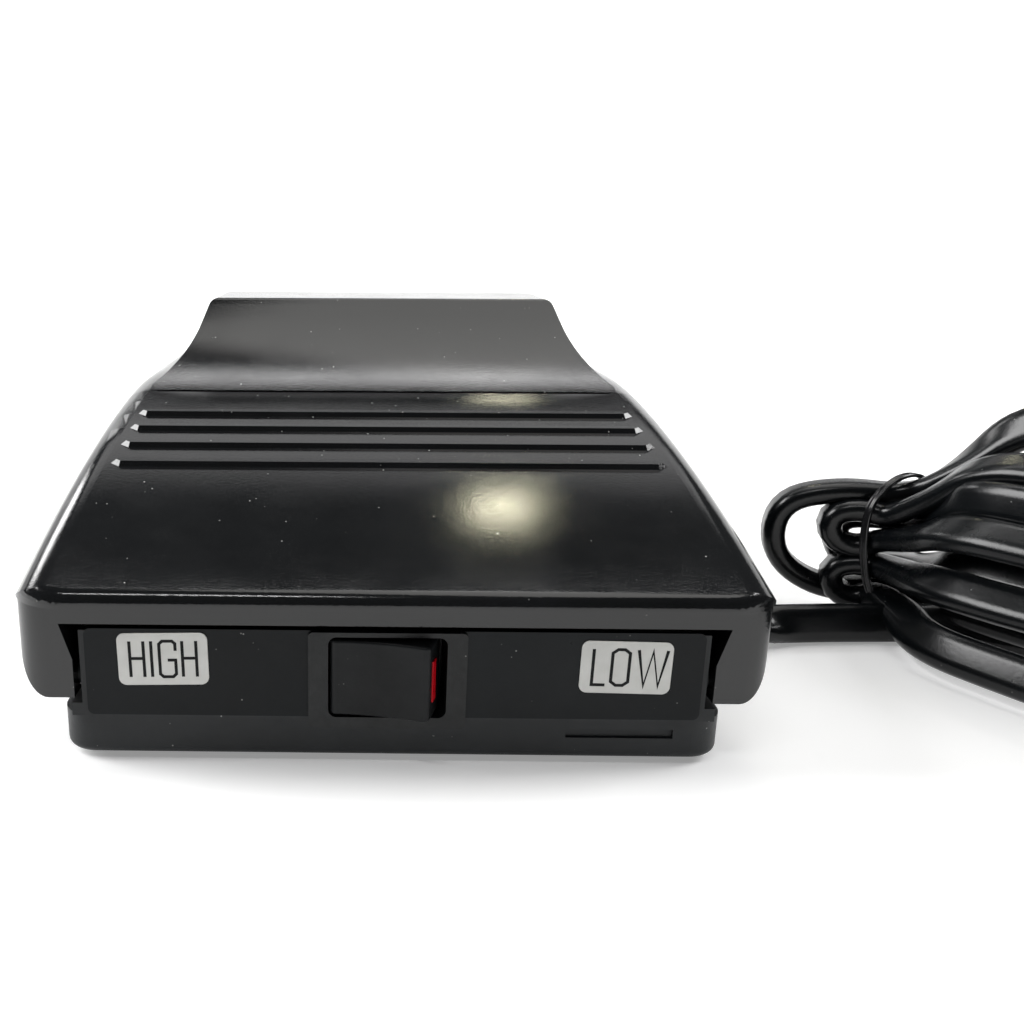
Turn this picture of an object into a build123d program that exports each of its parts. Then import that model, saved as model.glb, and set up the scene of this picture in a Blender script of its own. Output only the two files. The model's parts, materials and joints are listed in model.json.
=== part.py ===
"""Foot-operated speed controller of a sewing machine, with its cord put up in a tied hank.

Millimetres. +Z is up, +Y runs from the heel end (rocker switch) to the toe end, +X is to the right of
someone facing the rocker switch. The origin is on the floor under the middle of the pedal.
"""
from build123d import *
import math
import os

# ---- pedal cover ----
HALF_W = 55.0            # half width of the cover
FRONT_Y = -76.0          # foremost edge of the cover's lip
REAR_Y = 76.0            # rear wall of the cover
WALL = 2.4               # moulded wall
CORNER_R = 9.0           # plan corners
EDGE_R = 2.2             # rounding along the front crease
SIDE_R = 6.5             # rounding along the sides
LIP_TOP_Z = 27.4         # sharp height of the front lip, before rounding
LIP_LOW_Z = 25.2         # underside of the lip
FACE_Y = -72.0           # plane of the band, the ears and the base's front
BAND_Z = 21.5            # lower edge of the band under the lip
SLOPE_MID = (-36.5, 37.4)    # (y, z) on the foot rest
SLOPE_END = (3.0, 43.6)
SHOULDER = (25.0, 44.8)      # start of the level shoulders
RIB_YS = (-37.4, -29.3, -21.2, -13.1)
RIB_LENGTH = 95.0
RIB_HEIGHT = 0.8
# ---- raised toe block ----
BLOCK_TOP_Z = 60.8
BLOCK_TOP_HALF = 38.6
BLOCK_FOOT_Y = 3.0
BLOCK_CREST_Y = 30.0
BLOCK_FALL_Y = 51.0
BLOCK_REAR_Y = 73.5
# ---- ears, skirt and hinge ----
EAR_IN_X = 48.0
EAR_REAR_Y = -62.0
EAR_LOW_Z = 10.0
EAR_ROUND = (5.0, 9.0)       # half axes of the ear's lower outer rounding, across and up
EAR_CORNER_R = 5.0           # plan rounding of the ear's outer edge
HOOK_IN_X = 46.3
HOOK_TOP_Z = 16.0
SKIRT_FRONT_Z = 13.5
SKIRT_REAR_Z = 24.0
HINGE_Y = -67.5
HINGE_Z = 12.4
STUB_R = 2.0
HINGE_PLAY = 0.06
# ---- base ----
BASE_HALF_W = 46.8
BASE_REAR_Y = 70.0
BASE_WALL = 2.2
TRAY_HALF_W = 48.8
TRAY_WALL = 3.4
TRAY_REAR_Y = 71.5
TRAY_LOW_Z = 1.0
TRAY_FLOOR_Z = 3.0
PARTING_Z = 7.2
DECK_LOW_Z = 18.4
DECK_Z = 20.6
RIM_REAR_Z = 26.5
NOTCH_X = 45.2           # inner wall of the hinge corner recess
NOTCH_Z = 9.2
NOTCH_REAR_Y = -61.2     # leaves the hook room to swing
POSTS = [(x, y) for x in (-38.5, 38.5) for y in (-50.0, 54.0)]
POST_R = 3.6
SCREW_R = 1.5
FEET = [(x, y) for x in (-39.0, 39.0) for y in (-63.0, 63.0)]
FOOT_R = 5.0
# ---- front panel, labels and switch ----
PANEL_HALF_W = 44.3
PANEL_T = 0.6
PANEL_TOP_Z = 21.1
SWITCH_X = -0.8
SWITCH_Z = 14.1
BEZEL = (22.7, 14.8)         # width and height of the switch bezel
WINDOW = (17.0, 12.4)
WINDOW_CORNER_R = 1.2
BEZEL_T = 0.6
SWITCH_BODY = (20.4, 13.6)
SWITCH_REAR_Y = -60.0
TERMINAL_XS = (-6.0, 0.0, 6.0)
ROCKER_PIVOT_Y = -68.2
ROCKER_TILT = 11.0           # tilt of the rocker to either side of its middle
ROCKER_H = 11.6
ROCKER_HALF = 7.15           # half width across the rocker's face
ROCKER_FACE = -6.6           # the face's ends, in front of the pivot
ROCKER_FLARE = 0.7           # the end faces lean outwards by this much down to the pivot
ROCKER_WAIST = -0.5
MARK = (0.8, 1.6, 6.2)       # thickness, width and height of the red strip
MARK_OUT = 0.08              # its middle is this far outside the face's end, so it stands just proud
LABEL = (13.0, 8.0)
LABEL_T = 0.18
# ---- speed slider and springs ----
SLIDER_Y = 15.0
SLIDER_R = 2.4
SLIDER_TOP_Z = 30.8
SLIDER_LOW_Z = 14.5
SLIDER_WELL_R = 4.2          # hole in the deck round the slider's spring
POT_TOP_Z = 18.2
PLUNGER_R = 4.0
PLUNGER_GAP = 0.3
SPRINGS = [(-24.0, 38.0), (24.0, 38.0)]
SPRING_R = 5.0
SPRING_WIRE_R = 0.45
SPRING_LOW_Z = 8.4
SPRING_TOP_Z = 34.0
# ---- circuit board ----
PCB = (-36.0, 30.0, -42.0, 27.0)     # x from, x to, y from, y to
PCB_Z = 6.0
PCB_T = 1.6
PCB_TOP = PCB_Z + PCB_T
PCB_SCREWS = [(x, y) for x in (-32.0, 26.0) for y in (-38.0, 23.0)]
# ---- cord ----
CORD_R = 3.5
EXIT = (46.8, -31.4, 7.0)            # where the strain relief leaves the base
RELIEF_END = (67.4, -26.6, 4.3)
HANK_ANGLE = -58.0                   # heading of the hank from its tie towards its near end
HANK_TIE = (96.0, -14.0)
# distance from the tie, half width, half height, sideways shift
HANK_SECTIONS = [
    (-28.0, 6.0, 5.0, -4.0), (-25.0, 11.0, 9.5, -3.5), (-18.0, 15.0, 13.0, -3.0), (-9.0, 15.0, 13.6, -2.0),
    (-2.0, 11.5, 13.4, 0.0), (2.0, 11.5, 13.4, 0.0), (14.0, 14.0, 16.5, 0.0), (30.0, 17.8, 21.0, 0.0),
    (46.0, 19.6, 23.0, 0.0), (64.0, 19.8, 23.0, 0.0), (80.0, 18.4, 21.5, 0.0), (94.0, 14.6, 17.5, 0.0),
    (102.0, 10.0, 12.5, 0.0), (106.0, 5.0, 7.0, 0.0)]
PLUG_SIDE = 37.0                     # distance of the plug's line from the hank's line
PLUG_START = 36.0
PLUG_RELIEF_LEN = 14.0
PLUG_LEN = 30.0
PLUG_Z = 8.6
PIN_R = 2.0
PIN_LEN = 15.0
PIN_NECK_R = 1.5                     # neck moulded into the plug
PIN_NECK = 0.3                       # neck showing in front of the plug
PIN_SET_IN = 4.0
PIN_GAP = 12.0

ACROSS = Vector(math.cos(math.radians(HANK_ANGLE)), math.sin(math.radians(HANK_ANGLE)), 0)
BESIDE = Vector(-ACROSS.Y, ACROSS.X, 0)


def block(x0, x1, y0, y1, z0, z1):
    """Box between two corners."""
    return Pos((x0 + x1) / 2, (y0 + y1) / 2, (z0 + z1) / 2) * Box(x1 - x0, y1 - y0, z1 - z0)


def post(x, y, z0, z1, r):
    """Upright cylinder."""
    return Pos(x, y, (z0 + z1) / 2) * Cylinder(r, z1 - z0)


def bar_x(x0, x1, y, z, r):
    """Cylinder lying along X."""
    return Pos((x0 + x1) / 2, y, z) * Rot(0, 90, 0) * Cylinder(r, x1 - x0)


def side_profile(edges, half):
    """Solid from a closed outline in the YZ plane, half wide to each side."""
    return extrude(Plane.YZ * make_face(edges), amount=half, both=True)


def wedge(inset, start, corner, edge, low=-5.0):
    """Lower body of the cover: sloping foot rest, level shoulders, upright walls."""
    rear = REAR_Y - inset
    level = SHOULDER[1] - inset
    front = start[0]
    end = (SLOPE_END[0], SLOPE_END[1] - inset)
    rest = ThreePointArc(start, (SLOPE_MID[0], SLOPE_MID[1] - inset), end)
    turn = TangentArc(end, (SHOULDER[0], level), tangent=rest % 1)
    walls = Polyline((SHOULDER[0], level), (rear, level), (rear, low), (front, low), start)
    body = side_profile([rest, turn, walls], HALF_W - inset)
    body = fillet(body.edges().filter_by(Axis.Z), corner)
    seams = (SLOPE_END[0], SHOULDER[0])
    rim = [e for e in body.edges()
           if e.bounding_box().min.Z > low + 10
           and not any(abs(e.center().Y - y) < 0.5 and e.bounding_box().size.X > 60 for y in seams)
           and e.bounding_box().size.Z < 25]
    return fillet(rim, edge)


def toe_block(inset, low=30.0):
    """Raised block: bell-shaped across, with a hollow ramp at its front and a rounded fall at its rear."""
    top = BLOCK_TOP_Z - inset
    half = BLOCK_TOP_HALF - inset

    def flank(side):
        line = Line((side * half, top), (side * (half + 2.0), top - 6.3))
        sweep_out = ThreePointArc(line @ 1, (side * (half + 4.6), top - 11.2),
                                  (side * (half + 9.6), top - 16.2))
        return [line, sweep_out, Line(sweep_out @ 1, (side * (half + 9.6), low))]

    right, left = flank(1), flank(-1)
    bell = make_face(right + left + [Line((-half, top), (half, top)),
                                     Line((-half - 9.6, low), (half + 9.6, low))])
    bell = fillet(bell.vertices().filter_by(lambda v: abs(v.Y - top) < 0.1), 2.0)
    across = extrude(Plane.XZ * bell, amount=100, both=True)
    foot = (BLOCK_FOOT_Y + inset * 1.6, SLOPE_END[1] + 0.1 - inset)
    crest = (BLOCK_CREST_Y + inset * 0.4, top)
    hollow = ((foot[0] + crest[0]) / 2 + 0.7, (foot[1] + crest[1]) / 2 - 1.1)
    ramp = ThreePointArc(foot, hollow, crest)
    rear = BLOCK_REAR_Y - inset
    fall = ThreePointArc((BLOCK_FALL_Y, top), (BLOCK_FALL_Y + 15.5, top - 5.2), (rear, SHOULDER[1] - 2.0))
    outline = make_face([ramp, Line(crest, (BLOCK_FALL_Y, top)), fall,
                         Polyline(fall @ 1, (rear, low), (foot[0], low), foot)])
    crest_v = [v for v in outline.vertices() if (Vector(v.X, v.Y) - Vector(*crest)).length < 0.2]
    outline = fillet(crest_v, 1.5)
    along = extrude(Plane.YZ * outline, amount=70, both=True)
    return across & along


def rest_height(y):
    """Height of the foot rest at y, on the arc through its three points."""
    (y1, z1), (y2, z2), (y3, z3) = (FRONT_Y, LIP_TOP_Z), SLOPE_MID, SLOPE_END
    d = 2 * (y1 * (z2 - z3) + y2 * (z3 - z1) + y3 * (z1 - z2))
    s1, s2, s3 = y1 ** 2 + z1 ** 2, y2 ** 2 + z2 ** 2, y3 ** 2 + z3 ** 2
    cy = (s1 * (z2 - z3) + s2 * (z3 - z1) + s3 * (z1 - z2)) / d
    cz = (s1 * (y3 - y2) + s2 * (y1 - y3) + s3 * (y2 - y1)) / d
    r = math.hypot(y1 - cy, z1 - cz)
    z = cz + math.sqrt(r * r - (y - cy) ** 2)
    return z, math.degrees(math.atan2(-(y - cy), z - cz))


def rib(y):
    """Raised rib across the foot rest, pointed at both ends."""
    z, slope = rest_height(y)
    half, wide, point = RIB_LENGTH / 2, 1.3, 1.6
    outline = Polygon((-half, 0), (-half + point, -wide), (half - point, -wide), (half, 0),
                      (half - point, wide), (-half + point, wide), align=None)
    low = Plane(origin=(0, y, z), x_dir=(1, 0, 0), z_dir=(0, -math.sin(math.radians(slope)),
                                                        math.cos(math.radians(slope))))
    foot = extrude(low * Pos(0, 0, -1.0) * outline, amount=1.0)
    return foot + extrude(low * outline, amount=RIB_HEIGHT, taper=38)


def ear(side):
    """Front end of the skirt: it widens downwards into the hook that clips over the base's hinge stub."""
    outline = Polygon((HALF_W, LIP_LOW_Z + 1), (EAR_IN_X, LIP_LOW_Z + 1), (EAR_IN_X, BAND_Z),
                      (HOOK_IN_X, HOOK_TOP_Z), (HOOK_IN_X, EAR_LOW_Z), (HALF_W, EAR_LOW_Z), align=None)
    rear = Plane((0, EAR_REAR_Y, 0), x_dir=(1, 0, 0), z_dir=(0, -1, 0))
    body = extrude(rear * outline, amount=EAR_REAR_Y - FACE_Y)
    mouth = Pos(0, HINGE_Y, HINGE_Z) * Rot(40, 0, 0) * block(HOOK_IN_X - 1, EAR_IN_X, -1.5, 1.5, -9, 0)
    hook = body - mouth
    return hook if side > 0 else mirror(hook, Plane.YZ)


def corner_trim(side):
    """Material taken off to round the lower outer edge of an ear."""
    across, up = EAR_ROUND
    square = block(HALF_W - across, HALF_W + 2, FACE_Y - 6, EAR_REAR_Y, EAR_LOW_Z - 8, EAR_LOW_Z + up)
    middle = Plane((HALF_W - across, FACE_Y - 7, EAR_LOW_Z + up), x_dir=(1, 0, 0), z_dir=(0, 1, 0))
    trim = square - extrude(middle * Ellipse(across, up), amount=EAR_REAR_Y - FACE_Y + 8)
    return trim if side > 0 else mirror(trim, Plane.YZ)


def below_skirt():
    """Everything under the lower edge of the skirt, which rises to the rear."""
    edges = Polyline((EAR_REAR_Y, -10), (EAR_REAR_Y, SKIRT_FRONT_Z), (REAR_Y + 1, SKIRT_REAR_Z),
                     (REAR_Y + 1, -10), (EAR_REAR_Y, -10))
    return side_profile([edges], HALF_W + 5)


def cover_body():
    """Outside of the cover below the toe block: a crisp front crease between well rounded sides."""
    crisp = wedge(0, (FRONT_Y, LIP_TOP_Z), CORNER_R, EDGE_R)
    ahead = FRONT_Y - 2 * SIDE_R
    return crisp & wedge(0, (ahead, rest_height(ahead)[0]), CORNER_R, SIDE_R)


def ear_corner():
    """Plan outline of everything below the lip, with its own rounded corners."""
    return rounded_box(HALF_W, FACE_Y, REAR_Y, -10, LIP_LOW_Z, EAR_CORNER_R)


def make_cover():
    outer = cover_body() + toe_block(0)
    inner = wedge(WALL, (FACE_Y + WALL, LIP_TOP_Z - WALL), CORNER_R - WALL, SIDE_R - WALL)
    inner += toe_block(WALL)
    shell = outer - inner
    ears = (ear(1) + ear(-1)) & (outer + block(-EAR_IN_X, EAR_IN_X, FACE_Y, EAR_REAR_Y, 0, BAND_Z))
    plunger = post(0, SLIDER_Y, SLIDER_TOP_Z + PLUNGER_GAP + PLUNGER_R, 70, PLUNGER_R)
    plunger += Pos(0, SLIDER_Y, SLIDER_TOP_Z + PLUNGER_GAP + PLUNGER_R) * Sphere(PLUNGER_R)
    bosses = [post(x, y, SPRING_TOP_Z, 70, 6.6) + post(x, y, SPRING_TOP_Z - 4, 70, 3.2) for x, y in SPRINGS]
    cover = shell + ears + ((plunger + bosses[0] + bosses[1]) & outer)
    cover -= block(-60, 60, FRONT_Y - 5, FACE_Y + EAR_CORNER_R, -5, LIP_LOW_Z) - ear_corner()
    cover -= block(-EAR_IN_X, EAR_IN_X, FRONT_Y, EAR_REAR_Y - 4, -5, BAND_Z) - ears
    cover -= block(-60, 60, FRONT_Y, EAR_REAR_Y, -5, EAR_LOW_Z - 2.6) + below_skirt()
    for side in (-1, 1):
        cover -= corner_trim(side)
        cover -= bar_x(*sorted((side * (EAR_IN_X - 3), side * (EAR_IN_X + 3))), HINGE_Y, HINGE_Z,
                       STUB_R + HINGE_PLAY)
        cover -= block(*sorted((side * EAR_IN_X, side * (HALF_W + 1))), FRONT_Y, EAR_REAR_Y, 0, EAR_LOW_Z)
    groove = block(-BLOCK_TOP_HALF - 8.2, BLOCK_TOP_HALF + 8.2, BLOCK_FOOT_Y - 0.9, BLOCK_FOOT_Y + 0.1,
                   SLOPE_END[1] - 0.7, SLOPE_END[1] + 2)
    cover -= groove
    for y in RIB_YS:
        cover += rib(y)
    return cover


def rounded_box(x, y0, y1, z0, z1, r):
    """Box with rounded upright corners, centred on X."""
    body = block(-x, x, y0, y1, z0, z1)
    return fillet(body.edges().filter_by(Axis.Z), r)


def make_tray():
    tray = rounded_box(TRAY_HALF_W, FACE_Y, TRAY_REAR_Y, TRAY_LOW_Z, PARTING_Z, 5.0)
    tray = fillet(tray.edges().group_by(Axis.Z)[0], 1.2)
    tray -= rounded_box(TRAY_HALF_W - TRAY_WALL, FACE_Y + TRAY_WALL, TRAY_REAR_Y - TRAY_WALL,
                        TRAY_FLOOR_Z, PARTING_Z + 1, 2.0)
    for x, y in PCB_SCREWS:
        tray += post(x, y, TRAY_FLOOR_Z, PCB_Z, 2.6)
        tray -= post(x, y, TRAY_FLOOR_Z, PCB_Z, 1.1)
    for x, y in POSTS:
        tray -= post(x, y, 0, PARTING_Z, SCREW_R)
        tray -= post(x, y, 0, TRAY_LOW_Z + 0.9, 2.8)
    for x, y in FEET:
        tray -= post(x, y, 0, TRAY_LOW_Z + 0.6, FOOT_R)
    tray -= block(25.4, 41.0, FACE_Y - 1, FACE_Y + 0.5, 4.4, 5.8)
    for y in (EXIT[1] - 6.5, EXIT[1] + 6.5):
        tray += post(37.0, y, TRAY_FLOOR_Z, 6.4, 2.4)
        tray -= post(37.0, y, TRAY_FLOOR_Z, 6.4, 1.1)
    return tray - relief_solid()


def rim_cut():
    """Space above the base's rim, which rises to the rear."""
    edges = Polyline((FACE_Y - 5, DECK_Z), (EAR_REAR_Y, DECK_Z), (BASE_REAR_Y + 5, RIM_REAR_Z),
                     (BASE_REAR_Y + 5, 60), (FACE_Y - 5, 60), (FACE_Y - 5, DECK_Z))
    return side_profile([edges], 60)


def make_base_housing():
    housing = rounded_box(BASE_HALF_W, FACE_Y, BASE_REAR_Y, PARTING_Z, 40, 3.0) - rim_cut()
    inside = BASE_HALF_W - BASE_WALL
    for z0, z1 in ((PARTING_Z - 1, DECK_LOW_Z), (DECK_Z, 45)):
        housing -= rounded_box(inside, FACE_Y + BASE_WALL, BASE_REAR_Y - BASE_WALL, z0, z1, 1.5)
    for side in (-1, 1):
        x0, x1 = sorted((side * NOTCH_X, side * 50))
        housing += block(*sorted((side * (NOTCH_X - 2.0), side * BASE_HALF_W)), FACE_Y, NOTCH_REAR_Y + 2,
                         PARTING_Z, DECK_Z)
        housing -= block(x0, x1, FACE_Y - 1, NOTCH_REAR_Y, NOTCH_Z, 30)
        housing += bar_x(*sorted((side * (NOTCH_X - 1.0), side * 50.6)), HINGE_Y, HINGE_Z, STUB_R)
    for x, y in POSTS:
        housing += post(x, y, TRAY_FLOOR_Z, DECK_LOW_Z + 0.2, POST_R)
        housing -= post(x, y, 0, 13.0, SCREW_R)
    for x, y in SPRINGS:
        housing += post(x, y, SPRING_LOW_Z - 1.6, DECK_Z, 7.6)
        housing -= post(x, y, SPRING_LOW_Z, DECK_Z + 1, 6.2)
    housing -= post(0, SLIDER_Y, DECK_LOW_Z - 1, DECK_Z + 1, SLIDER_WELL_R)
    w = SWITCH_BODY[0] / 2
    housing -= block(SWITCH_X - w, SWITCH_X + w, FACE_Y - 1, SWITCH_REAR_Y, PARTING_Z - 1, 30)
    return housing - relief_solid()


def relief_solid():
    """Tapered strain relief with a flange inside the base wall."""
    a, b = Vector(*EXIT), Vector(*RELIEF_END)
    along = (b - a).normalized()
    length = (b - a).length
    outline = Polyline((0, -4.6), (6.2, -4.6), (6.2, -2.9), (4.4, -2.9), (4.4, 0.4), (5.2, 0.9), (5.2, 3.0),
                       (3.9, length), (0, length), (0, -4.6))
    spun = revolve(Plane.XZ * make_face(outline), Axis.Z)
    return Plane(origin=a, x_dir=(along.cross(Vector(0, 0, 1))).normalized(), z_dir=along) * spun


def make_relief():
    relief = relief_solid()
    a, b = Vector(*EXIT), Vector(*RELIEF_END)
    along = (b - a).normalized()
    for k in range(4):
        where = a + along * (6.5 + 3.4 * k)
        ring = Plane(origin=where, x_dir=(0, 1, 0), z_dir=along)
        relief -= extrude(ring * (Circle(8) - Circle(4.15 - 0.18 * k)), amount=1.2)
    return relief


def make_panel():
    panel = block(-PANEL_HALF_W, PANEL_HALF_W, FACE_Y - PANEL_T, FACE_Y, PARTING_Z + 0.5, PANEL_TOP_Z)
    panel = fillet(panel.edges().filter_by(Axis.Y), 1.0)
    w = SWITCH_BODY[0] / 2
    return panel - block(SWITCH_X - w, SWITCH_X + w, FACE_Y - 2, FACE_Y + 2, 0, 30)


def make_label(x, z, turn):
    plane = Plane(origin=(x, FACE_Y - PANEL_T, z), x_dir=(1, 0, 0), z_dir=(0, -1, 0))
    return extrude(plane * Rot(0, 0, turn) * RectangleRounded(*LABEL, 1.15), amount=LABEL_T)


def terminal_blade(x):
    """Flat blade that stands out of the back of the switch."""
    return block(SWITCH_X + x - 0.4, SWITCH_X + x + 0.4, SWITCH_REAR_Y - 3.0, SWITCH_REAR_Y + 7,
                 SWITCH_Z - 2.4, SWITCH_Z + 2.4)


def make_switch_housing():
    front = FACE_Y - PANEL_T
    plane = Plane(origin=(SWITCH_X, front, SWITCH_Z - 0.5), x_dir=(1, 0, 0), z_dir=(0, -1, 0))
    bezel = extrude(plane * RectangleRounded(*BEZEL, 0.7), amount=BEZEL_T)
    w, h = SWITCH_BODY[0] / 2, SWITCH_BODY[1] / 2
    body = block(SWITCH_X - w, SWITCH_X + w, front, SWITCH_REAR_Y, SWITCH_Z - h, SWITCH_Z + h)
    window = Plane(origin=(SWITCH_X, front - 2, SWITCH_Z), x_dir=(1, 0, 0), z_dir=(0, 1, 0))
    cavity = extrude(window * RectangleRounded(*WINDOW, WINDOW_CORNER_R), amount=-(front - 2) - 63.6)
    shell = bezel + body - cavity
    for x in TERMINAL_XS:
        shell -= terminal_blade(x)
    return shell - post(SWITCH_X, ROCKER_PIVOT_Y, SWITCH_Z - h - 1, SWITCH_Z + h + 1, 1.26)


def rocker_plan():
    """Outline of the rocker from above in its middle position, about its pivot."""
    left, right = (-ROCKER_HALF, ROCKER_FACE), (ROCKER_HALF, ROCKER_FACE)
    wide = ROCKER_HALF + ROCKER_FLARE
    face = ThreePointArc(left, (0, ROCKER_FACE + 0.7), right)
    rest = Polyline(right, (wide, ROCKER_WAIST), (2.2, 3.4), (-2.2, 3.4), (-wide, ROCKER_WAIST), left)
    plan = make_face([face, rest])
    tips = [v for v in plan.vertices() if v.Y < -6]
    return fillet(tips, 0.9)


def rocker_frame():
    return Pos(SWITCH_X, ROCKER_PIVOT_Y, 0) * Rot(0, 0, -ROCKER_TILT)


def red_mark_block():
    """Red strip let into the end face that stands proud when HIGH is pressed."""
    slant = math.degrees(math.atan2(ROCKER_FLARE, ROCKER_WAIST - ROCKER_FACE))
    return rocker_frame() * Pos(ROCKER_HALF + MARK_OUT, -4.1, SWITCH_Z) * Rot(0, 0, -slant) * Box(*MARK)


def make_rocker():
    low = SWITCH_Z - ROCKER_H / 2
    body = extrude(Pos(0, 0, low) * rocker_plan(), amount=ROCKER_H)
    flats = body.faces().sort_by(Axis.Z)
    body = fillet([e for e in flats[0].edges() + flats[-1].edges() if e.center().Y < -3], 0.45)
    body += post(0, 0, SWITCH_Z - SWITCH_BODY[1] / 2 + 0.05, SWITCH_Z + SWITCH_BODY[1] / 2 - 0.05, 1.2)
    return rocker_frame() * body - red_mark_block()


def make_switch_terminals():
    return Compound([terminal_blade(x)
                     - bar_x(SWITCH_X + x - 1, SWITCH_X + x + 1, SWITCH_REAR_Y + 5, SWITCH_Z, 0.8)
                     for x in TERMINAL_XS])


def coil(x, y, z0, z1, r, wire, turns):
    """Compression spring as one swept wire."""
    rise = z1 - z0 - 2 * wire
    path = Pos(x, y, z0 + wire) * Helix(pitch=rise / turns, height=rise, radius=r)
    return sweep(Plane(origin=path @ 0, z_dir=path % 0) * Circle(wire), path=path, is_frenet=True)


def make_slider():
    rod = post(0, SLIDER_Y, SLIDER_LOW_Z, SLIDER_TOP_Z - 1.9, SLIDER_R)
    button = post(0, SLIDER_Y, SLIDER_TOP_Z - 2.0, SLIDER_TOP_Z, 4.5)
    button = fillet(button.edges().filter_by(GeomType.CIRCLE), 0.5)
    return rod + button


def make_pot():
    body = block(-8, 8, SLIDER_Y - 6.5, SLIDER_Y + 6.5, PCB_TOP, POT_TOP_Z)
    body = chamfer(body.edges().filter_by(Axis.Z), 1.0)
    return body - post(0, SLIDER_Y, 0, 30, SLIDER_R + 0.08)


def make_pcb():
    x0, x1, y0, y1 = PCB
    board = block(x0, x1, y0, y1, PCB_Z, PCB_TOP)
    for x, y in PCB_SCREWS:
        board -= post(x, y, 0, 20, 1.1)
    return board - post(0, SLIDER_Y, 0, 20, SLIDER_R + 0.3)


def pan_screw(x, y, low, seat, r, head_r, head_h):
    """Screw standing on its point: shank from low to seat, domed head above, with a cross slot."""
    head = post(x, y, seat, seat + head_h, head_r)
    head = fillet(head.edges().group_by(Axis.Z)[-1], head_h * 0.45)
    cross = block(x - head_r * 0.6, x + head_r * 0.6, y - 0.25, y + 0.25, seat + head_h * 0.45, seat + 5)
    cross += block(x - 0.25, x + 0.25, y - head_r * 0.6, y + head_r * 0.6, seat + head_h * 0.45, seat + 5)
    return post(x, y, low, seat, r) + head - cross


def make_case_screws():
    """Screws driven up through the tray into the housing's posts."""
    screws = []
    for x, y in POSTS:
        screw = post(x, y, TRAY_LOW_Z + 0.9, 12.5, SCREW_R)
        screw += post(x, y, TRAY_LOW_Z + 0.1, TRAY_LOW_Z + 0.9, 2.8)
        screw -= block(x - 1.7, x + 1.7, y - 0.3, y + 0.3, 0, TRAY_LOW_Z + 0.5)
        screw -= block(x - 0.3, x + 0.3, y - 1.7, y + 1.7, 0, TRAY_LOW_Z + 0.5)
        screws.append(screw)
    return Compound(screws)


def make_feet():
    feet = []
    for x, y in FEET:
        foot = post(x, y, 0, TRAY_LOW_Z + 0.6, FOOT_R)
        feet.append(chamfer(foot.edges().group_by(Axis.Z)[0], 0.35))
    return Compound(feet)


def make_heat_sink():
    sink = block(-31, -11, 3.0, 5.0, PCB_TOP, 17.0)
    for k in range(5):
        x = -30.0 + 4.5 * k
        sink += block(x - 0.5, x + 0.5, 4.5, 11.0, PCB_TOP, 17.0)
    return sink


def make_triac():
    body = block(-26, -16, -1.6, 3.0, PCB_TOP + 2.0, 16.6)
    for x in (-23.5, -21.0, -18.5):
        body += block(x - 0.4, x + 0.4, 0.2, 1.0, PCB_TOP, PCB_TOP + 2.2)
    return body


def make_choke():
    ring = Pos(-23, -24, PCB_TOP + 4.2) * Torus(6.5, 3.6)
    return ring & block(-40, 0, -40, -8, PCB_TOP, 20)


def make_capacitors():
    big = fillet(block(-8, 12, -36, -27, PCB_TOP, 17.4).edges().filter_by(Axis.Z), 1.0)
    small = fillet(block(-5, 8, -20, -14, PCB_TOP, 15.0).edges().filter_by(Axis.Z), 1.0)
    return Compound([big, small])


def make_resistors():
    parts = []
    for x, y in ((-30, -5), (-30, -10), (14, 2)):
        body = bar_x(x, x + 9, y, PCB_TOP + 2.0, 1.5) + bar_x(x - 2, x + 11, y, PCB_TOP + 2.0, 0.35)
        for leg in (x - 1.65, x + 10.65):
            body += post(leg, y, PCB_TOP, PCB_TOP + 2.0, 0.35)
        parts.append(body)
    return Compound(parts)


def make_terminal_block():
    body = block(18, 28, -33.0, -19.0, PCB_TOP, 16.0)
    for y in (-29.5, -22.5):
        body -= post(23, y, 12.0, 20, 1.9)
        body -= block(25, 29, y - 1.2, y + 1.2, 9.0, 11.4)
    return body


def make_terminal_screws():
    return Compound([post(23, y, 12.0, 14.6, 1.9) - block(21.4, 24.6, y - 0.35, y + 0.35, 14.0, 16)
                     for y in (-29.5, -22.5)])


def make_clamp():
    y = EXIT[1]
    strap = block(34.4, 39.6, y - 9.0, y + 9.0, 6.4, 8.0)
    strap += block(34.4, 39.6, y - 4.2, y + 4.2, 6.4, 11.8)
    strap -= bar_x(30, 45, y, EXIT[2], 3.3)
    for dy in (-6.5, 6.5):
        strap -= post(37.0, y + dy, 0, 20, 1.1)
    return strap


def make_inner_cord():
    """Sheath of the cord inside the base, under its clamp."""
    return bar_x(33.0, 41.2, EXIT[1], EXIT[2], 3.3)


def wire(points, r, radius):
    """Round wire along straight runs joined by arcs."""
    path = FilletPolyline(*points, radius=radius)
    return sweep(Plane(origin=path @ 0, z_dir=path % 0) * Circle(r), path=path)


def make_wires():
    y, z = EXIT[1], EXIT[2]
    cord_side = [wire([(33.0, y + d, z), (31.0, y + d, z), (30.2, t, 10.2), (25.2, t, 10.2)], 0.8, 0.7)
                 for d, t in ((-1.2, -29.5), (1.2, -22.5))]
    switch_side = [wire([(SWITCH_X + x, -53.0, 14.0), (SWITCH_X + x, -48.5, 14.0),
                         (SWITCH_X + x * 0.6, -39.5, 11.0), (SWITCH_X + x * 0.6, -39.5, PCB_TOP)], 0.8, 1.6)
                   for x in (-6.0, 6.0)]
    return Compound(cord_side + switch_side)


def corner_radii(points):
    """Each corner's radius: 0.45 of its shorter run, divided by the tangent of half the turn."""
    v = [Vector(*p) for p in points]
    radii = []
    for a, b, c in zip(v, v[1:], v[2:]):
        turn = math.radians((b - a).get_angle(c - b))
        radii.append(0.45 * min((b - a).length, (c - b).length) / math.tan(turn / 2))
    return radii


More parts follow.
